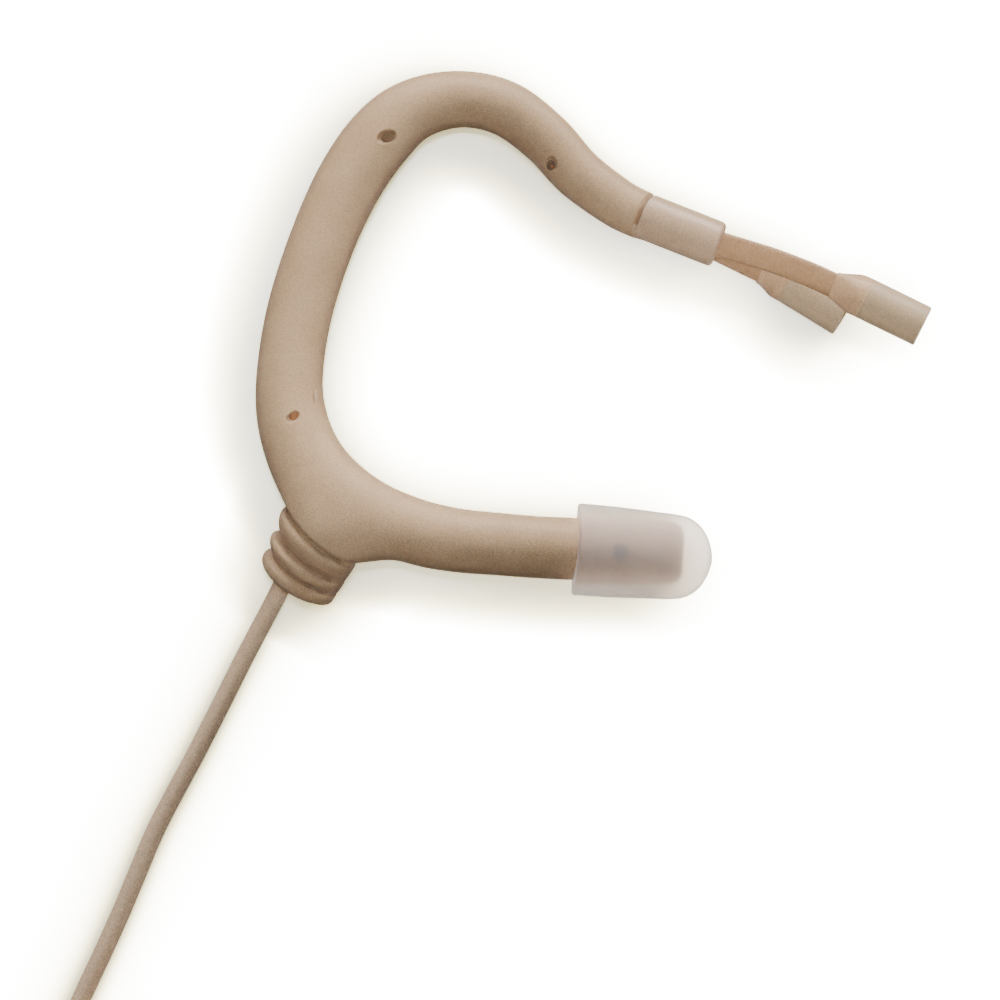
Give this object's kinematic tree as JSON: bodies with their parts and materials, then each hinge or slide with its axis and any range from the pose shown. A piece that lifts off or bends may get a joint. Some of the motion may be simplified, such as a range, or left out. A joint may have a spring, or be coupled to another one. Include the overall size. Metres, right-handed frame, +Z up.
{
  "type": "headset microphone",
  "caption": "Slim over-ear headset microphone: soft ear loop with capped lower arm, two short flat booms with miniature capsules, thin cable coiled to a screw-lock jack plug.",
  "frame": {"origin": "bottom centre of the headset, without its cable, lying flat on a table", "axes": "+Z up from the table, across the flat ear loop; +X towards the capsules; +Y towards the top of the ear loop"},
  "size_m": [0.0944, 0.1295, 0.0098],
  "materials": {
    "skin_moulding": "satin soft-touch, fine grain",
    "boom_jacket": "matte, very fine texture",
    "capsule_shell": "matte eggshell",
    "clear_silicone": "translucent, milky, satin",
    "cable_jacket": "satin",
    "copper_wire": "drawn",
    "stainless": "fine brushed",
    "nickel": "satin nickel plate",
    "gold_contact": "polished gold plate",
    "black_rubber": "matte",
    "black_plastic": "matte",
    "circuit_board": "solder resist"
  },
  "bodies": {
    "headset": {"ear_mount": "skin_moulding", "strain_relief": "skin_moulding", "end_collar": "skin_moulding", "loop_wire": "copper_wire", "front_lead": "black_plastic", "rear_lead": "black_plastic", "junction_board": "circuit_board", "cable_crimp": "stainless", "cable_run": "cable_jacket", "cable_coil": "cable_jacket", "cable_tie": "black_rubber", "cable_tail": "cable_jacket", "plug_boot": "black_rubber", "plug_barrel": "nickel", "cable_clamp": "stainless", "plug_neck": "nickel", "plug_sleeve": "gold_contact", "plug_ring": "gold_contact", "plug_tip": "gold_contact", "plug_insulators": "black_plastic"},
    "arm": {"lower_arm": "skin_moulding", "arm_wire": "copper_wire"},
    "cap": {"silicone_cap": "clear_silicone"},
    "front_mic": {"front_boom": "boom_jacket", "front_boom_core": "copper_wire", "front_boot": "boom_jacket", "front_housing": "capsule_shell", "front_screen": "stainless", "front_element": "nickel", "front_diaphragm": "gold_contact", "front_preamp_board": "circuit_board"},
    "rear_mic": {"rear_boom": "boom_jacket", "rear_boom_core": "copper_wire", "rear_boot": "boom_jacket", "rear_housing": "capsule_shell", "rear_screen": "stainless", "rear_element": "nickel", "rear_diaphragm": "gold_contact", "rear_preamp_board": "circuit_board"},
    "plug_nut": {"coupling_nut": "nickel"}
  },
  "joints": [
    {"name": "arm_flex", "type": "hinge", "parent": "headset", "child": "arm", "pos_m": [-0.019, -0.0188, 0.00505], "axis": [0, 0, 1], "range_deg": [-8, 8]},
    {"name": "cap_slide", "type": "slide", "parent": "arm", "child": "cap", "axis": [0.9988, -0.0489, 0], "range_m": [0, 0.012]},
    {"name": "front_boom_bend", "type": "hinge", "parent": "headset", "child": "front_mic", "pos_m": [0.01269, 0.00949, 0.0043], "axis": [-0.0486, 0.0194, 0.9986], "range_deg": [-20, 15]},
    {"name": "rear_boom_bend", "type": "hinge", "parent": "headset", "child": "rear_mic", "pos_m": [0.01248, 0.00898, 0.0043], "axis": [-0.0486, 0.0194, 0.9986], "range_deg": [-15, 20]},
    {"name": "nut_spin", "type": "hinge", "parent": "headset", "child": "plug_nut", "pos_m": [0.0195, -0.0986, 0.004], "axis": [1, 0, 0], "continuous": true}
  ]
}
